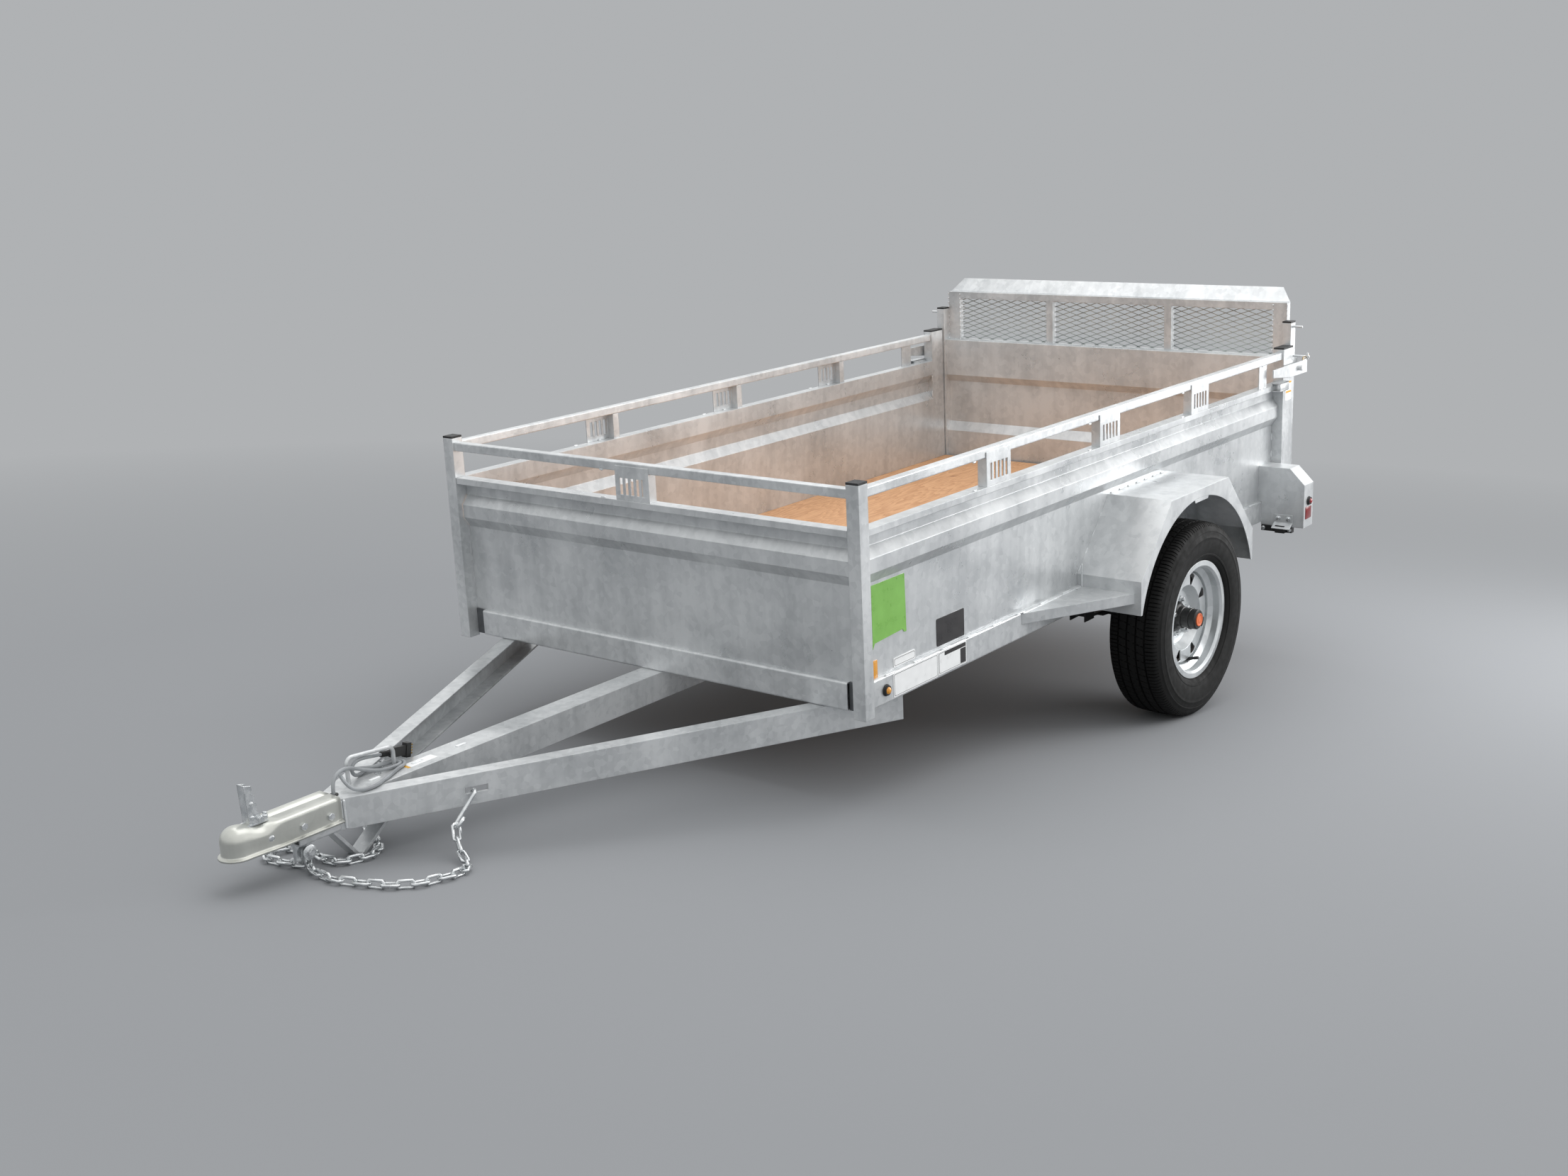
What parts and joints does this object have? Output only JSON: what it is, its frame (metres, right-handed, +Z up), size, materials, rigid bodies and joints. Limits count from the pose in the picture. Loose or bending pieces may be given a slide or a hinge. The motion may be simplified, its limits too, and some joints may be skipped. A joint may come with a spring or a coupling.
{
  "type": "utility trailer",
  "caption": "Single-axle open utility trailer with pressed galvanised walls, plywood floor, A-frame tongue, and a hinged rear gate topped by mesh.",
  "frame": {"origin": "on the floor under the middle of the box round the parked trailer", "axes": "+X to the trailer's left, +Y to the rear, +Z up; the trailer stands nose down on its foot"},
  "size_m": [1.877, 3.9722, 1.2999],
  "materials": {
    "galvanised": "hot-dip galvanised, mottled",
    "zinc_plate": "bright zinc plated",
    "rim_zinc": "bright galvanised rim",
    "black_steel": "black painted steel",
    "black_plastic": "moulded black plastic",
    "grey_plastic": "moulded grey plastic",
    "plywood": "coated plywood",
    "tyre": "black rubber",
    "red_lens": "red moulded lens",
    "marker_lens": "coloured moulded lens",
    "grey_cable": "grey sheathed cable"
  },
  "bodies": {
    "trailer": {"front_posts": "galvanised", "rear_posts": "galvanised", "post_caps": "black_plastic", "side_panel_left": "galvanised", "side_panel_right": "galvanised", "front_panel": "galvanised", "floor": "plywood", "side_beam_left": "galvanised", "side_beam_right": "galvanised", "front_beam": "galvanised", "rear_beam": "galvanised", "crossmembers": "galvanised", "beam_plugs": "grey_plastic", "top_rail_left": "galvanised", "top_rail_right": "galvanised", "top_rail_front": "galvanised", "stanchions": "galvanised", "tongue_channel_left": "galvanised", "tongue_channel_right": "galvanised", "tongue_tube": "galvanised", "coupler": "zinc_plate", "tongue_nose": "galvanised", "coupler_lever": "zinc_plate", "foot": "black_steel", "axle": "black_steel", "spring_left": "black_steel", "spring_right": "black_steel", "spring_hangers": "black_steel", "spring_clamps": "zinc_plate", "fender_left": "galvanised", "fender_right": "galvanised", "lamp_box_left": "galvanised", "lamp_box_right": "galvanised", "tail_lamps": "red_lens", "marker_lamps": "marker_lens", "chain_tab": "galvanised", "chain_bolt": "zinc_plate", "chain_left": "zinc_plate", "chain_right": "zinc_plate", "cable_loop": "zinc_plate", "cord": "grey_cable", "grommet": "black_plastic", "plug": "black_plastic", "plate_bracket": "black_steel", "hinge_lugs": "galvanised"},
    "gate": {"gate_stiles": "galvanised", "gate_caps": "black_plastic", "gate_sill": "galvanised", "gate_panel": "galvanised", "mesh_frame": "galvanised", "gate_mesh": "galvanised", "gate_lip": "galvanised", "gate_latches": "zinc_plate"},
    "wheel_left": {"tyre_left": "tyre", "rim_left": "rim_zinc", "hub_left": "black_steel"},
    "wheel_right": {"tyre_right": "tyre", "rim_right": "rim_zinc", "hub_right": "black_steel"}
  },
  "joints": [
    {"name": "wheel_left_spin", "type": "hinge", "parent": "trailer", "child": "wheel_left", "pos_m": [0.8495, 0.88274, 0.305], "axis": [1, 0, 0], "continuous": true},
    {"name": "wheel_right_spin", "type": "hinge", "parent": "trailer", "child": "wheel_right", "pos_m": [-0.8495, 0.88274, 0.305], "axis": [1, 0, 0], "continuous": true},
    {"name": "gate_hinge", "type": "hinge", "parent": "trailer", "child": "gate", "pos_m": [0, 1.95475, 0.55801], "axis": [-1, 0, 0], "range_deg": [0, 136]}
  ]
}
